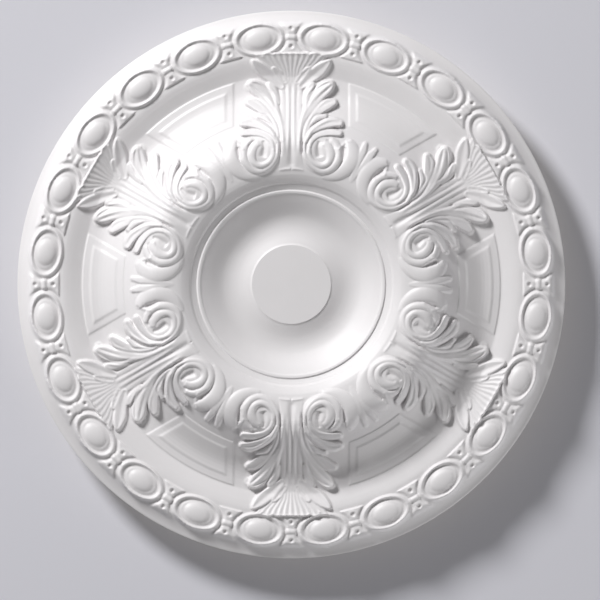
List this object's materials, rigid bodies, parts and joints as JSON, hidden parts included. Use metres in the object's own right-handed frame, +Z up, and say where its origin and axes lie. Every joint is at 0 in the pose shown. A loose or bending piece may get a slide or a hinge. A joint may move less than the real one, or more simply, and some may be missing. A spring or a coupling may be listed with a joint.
{
  "type": "ceiling rose",
  "caption": "Round moulded ceiling rose with a dished centre, scrolled acanthus leaves round a heavy ring, raised panels and an egg and spacer border.",
  "frame": {"origin": "centre of the flat back, which sits against the ceiling or wall", "axes": "-Y is the way the relief faces, away from what it is fixed to; +Y is the back's outward normal; +Z is up through the middle of one leaf, as the rose is shown; turn it -90 degrees about X to put it face down under a ceiling"},
  "size_m": [0.6, 0.0675, 0.6],
  "materials": {
    "primed_foam": "matt white primer over moulded rigid foam"
  },
  "bodies": {
    "root": {"ceiling_rose": "primed_foam"}
  },
  "joints": []
}
